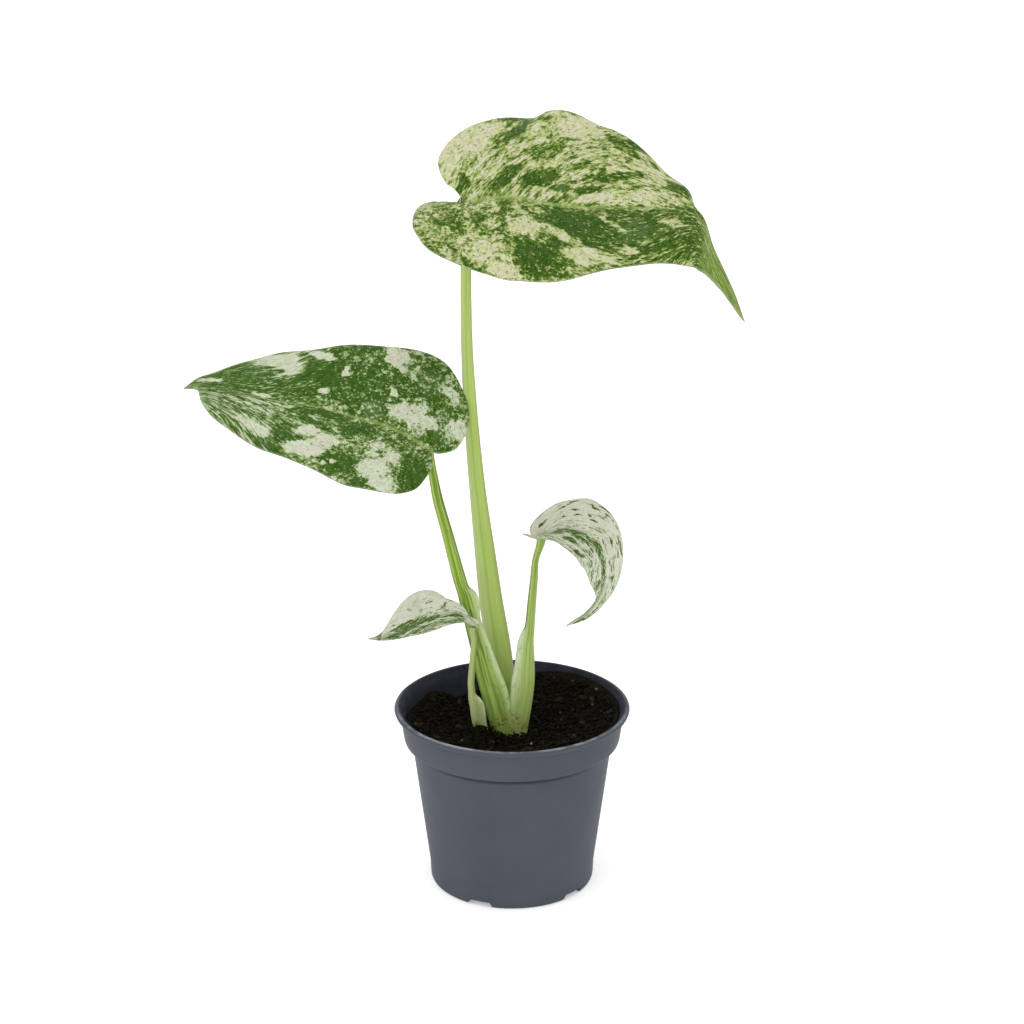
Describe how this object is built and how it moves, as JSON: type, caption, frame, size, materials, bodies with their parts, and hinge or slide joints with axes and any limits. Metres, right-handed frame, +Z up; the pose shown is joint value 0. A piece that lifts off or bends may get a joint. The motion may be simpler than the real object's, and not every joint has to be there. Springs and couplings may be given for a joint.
{
  "type": "potted variegated swiss cheese plant",
  "caption": "Young variegated swiss cheese plant with heart-shaped cream and green leaves on pale stalks, rooted in soil in a small round plastic nursery pot.",
  "frame": {"origin": "centre of the pot's flat base, on the floor that it stands on", "axes": "+Z up along the pot's axis; -Y towards the side that the leaves face; +X to the right seen from there"},
  "size_m": [0.1364, 0.0632, 0.197],
  "materials": {
    "pot_plastic": "slate grey moulded plastic with a low sheen",
    "potting_soil": "rough damp crumbs of peat, bark and perlite",
    "stem_tissue": "matte green-brown plant stem",
    "stalk_pale": "smooth pale green, faintly striped lengthwise",
    "stalk_striped": "smooth green with darker lengthwise stripes",
    "leaf_marbled": "satin leaf, cream marbled with green",
    "leaf_cream": "satin leaf, cream white flecked with green"
  },
  "bodies": {
    "root": {"pot": "pot_plastic", "soil": "potting_soil", "stem": "stem_tissue", "petiole_top": "stalk_pale", "petiole_left": "stalk_striped", "petiole_right": "stalk_pale", "petiole_low": "stalk_pale", "blade_top": "leaf_marbled", "blade_left": "leaf_marbled", "blade_right": "leaf_cream", "blade_low": "leaf_cream"}
  },
  "joints": []
}
